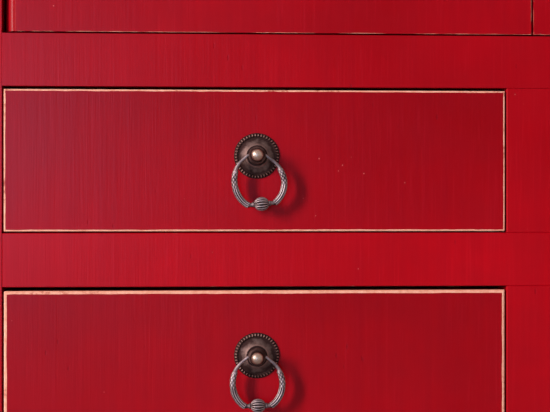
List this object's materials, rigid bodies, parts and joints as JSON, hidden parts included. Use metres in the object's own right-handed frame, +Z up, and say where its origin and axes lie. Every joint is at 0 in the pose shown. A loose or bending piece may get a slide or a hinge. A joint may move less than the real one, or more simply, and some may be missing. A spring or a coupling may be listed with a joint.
{
  "type": "chinese wedding cabinet",
  "caption": "Tall red lacquer cabinet with flush doors above flush drawers, a round plate across the doors and cast ring pulls on milled rosettes.",
  "frame": {"origin": "centre of the cabinet's bounding box on the floor", "axes": "+Z up, the doors and drawers face -Y, +X to the right of a person who faces the front"},
  "size_m": [1.05, 0.53, 1.8],
  "materials": {
    "red_lacquer": "satin lacquer, rubbed at the edges",
    "bare_wood": "oiled, bare",
    "dark_bronze": "dark patina",
    "aged_brass": "worn patina"
  },
  "bodies": {
    "carcass": {"front_post_left": "red_lacquer", "front_post_right": "red_lacquer", "rear_post_left": "red_lacquer", "rear_post_right": "red_lacquer", "top_frame_front": "red_lacquer", "top_frame_rear": "red_lacquer", "top_frame_left": "red_lacquer", "top_frame_right": "red_lacquer", "top_panel": "red_lacquer", "top_battens": "bare_wood", "top_rail_front": "red_lacquer", "middle_rail_front": "red_lacquer", "drawer_rail_front": "red_lacquer", "bottom_rail_front": "red_lacquer", "drawer_muntins": "red_lacquer", "side_rails_left": "red_lacquer", "side_rails_right": "red_lacquer", "side_panels_left": "red_lacquer", "side_panels_right": "red_lacquer", "rear_rails": "bare_wood", "rear_panels": "bare_wood", "cabinet_floor": "bare_wood", "shelf": "bare_wood", "shelf_cleats": "bare_wood", "drawer_runners": "bare_wood", "front_apron": "red_lacquer", "side_aprons": "red_lacquer", "door_stop": "bare_wood"},
    "door_left": {"door_left_frame": "red_lacquer", "door_left_panel": "red_lacquer", "door_left_moon_plate": "aged_brass", "door_left_rosette": "dark_bronze", "door_left_pull_post": "aged_brass"},
    "door_left_ring": {"door_left_ring": "dark_bronze"},
    "door_right": {"door_right_frame": "red_lacquer", "door_right_panel": "red_lacquer", "door_right_moon_plate": "aged_brass", "door_right_rosette": "dark_bronze", "door_right_pull_post": "aged_brass"},
    "door_right_ring": {"door_right_ring": "dark_bronze"},
    "drawer_upper_left": {"drawer_upper_left_front": "red_lacquer", "drawer_upper_left_box": "bare_wood", "drawer_upper_left_rosette": "dark_bronze", "drawer_upper_left_pull_post": "aged_brass"},
    "drawer_upper_left_ring": {"drawer_upper_left_ring": "dark_bronze"},
    "drawer_upper_right": {"drawer_upper_right_front": "red_lacquer", "drawer_upper_right_box": "bare_wood", "drawer_upper_right_rosette": "dark_bronze", "drawer_upper_right_pull_post": "aged_brass"},
    "drawer_upper_right_ring": {"drawer_upper_right_ring": "dark_bronze"},
    "drawer_lower_left": {"drawer_lower_left_front": "red_lacquer", "drawer_lower_left_box": "bare_wood", "drawer_lower_left_rosette": "dark_bronze", "drawer_lower_left_pull_post": "aged_brass"},
    "drawer_lower_left_ring": {"drawer_lower_left_ring": "dark_bronze"},
    "drawer_lower_right": {"drawer_lower_right_front": "red_lacquer", "drawer_lower_right_box": "bare_wood", "drawer_lower_right_rosette": "dark_bronze", "drawer_lower_right_pull_post": "aged_brass"},
    "drawer_lower_right_ring": {"drawer_lower_right_ring": "dark_bronze"}
  },
  "joints": [
    {"name": "door_left_swing", "type": "hinge", "parent": "carcass", "child": "door_left", "pos_m": [-0.4415, -0.228, 0.535], "axis": [0, 0, -1], "range_deg": [0, 95]},
    {"name": "door_left_ring_swing", "type": "hinge", "parent": "door_left", "child": "door_left_ring", "pos_m": [-0.045, -0.2511, 1.1285], "axis": [-1, 0, 0], "range_deg": [-4, 175]},
    {"name": "door_right_swing", "type": "hinge", "parent": "carcass", "child": "door_right", "pos_m": [0.4415, -0.228, 0.535], "axis": [0, 0, 1], "range_deg": [0, 95]},
    {"name": "door_right_ring_swing", "type": "hinge", "parent": "door_right", "child": "door_right_ring", "pos_m": [0.045, -0.2511, 1.1285], "axis": [-1, 0, 0], "range_deg": [-4, 175]},
    {"name": "drawer_upper_left_slide", "type": "slide", "parent": "carcass", "child": "drawer_upper_left", "axis": [0, -1, 0], "range_m": [0, 0.3]},
    {"name": "drawer_upper_left_ring_swing", "type": "hinge", "parent": "drawer_upper_left", "child": "drawer_upper_left_ring", "pos_m": [-0.23875, -0.2496, 0.43085], "axis": [-1, 0, 0], "range_deg": [-4, 175]},
    {"name": "drawer_upper_right_slide", "type": "slide", "parent": "carcass", "child": "drawer_upper_right", "axis": [0, -1, 0], "range_m": [0, 0.3]},
    {"name": "drawer_upper_right_ring_swing", "type": "hinge", "parent": "drawer_upper_right", "child": "drawer_upper_right_ring", "pos_m": [0.23875, -0.2496, 0.43085], "axis": [-1, 0, 0], "range_deg": [-4, 175]},
    {"name": "drawer_lower_left_slide", "type": "slide", "parent": "carcass", "child": "drawer_lower_left", "axis": [0, -1, 0], "range_m": [0, 0.3]},
    {"name": "drawer_lower_left_ring_swing", "type": "hinge", "parent": "drawer_lower_left", "child": "drawer_lower_left_ring", "pos_m": [-0.23875, -0.2496, 0.25995], "axis": [-1, 0, 0], "range_deg": [-4, 175]},
    {"name": "drawer_lower_right_slide", "type": "slide", "parent": "carcass", "child": "drawer_lower_right", "axis": [0, -1, 0], "range_m": [0, 0.3]},
    {"name": "drawer_lower_right_ring_swing", "type": "hinge", "parent": "drawer_lower_right", "child": "drawer_lower_right_ring", "pos_m": [0.23875, -0.2496, 0.25995], "axis": [-1, 0, 0], "range_deg": [-4, 175]}
  ]
}
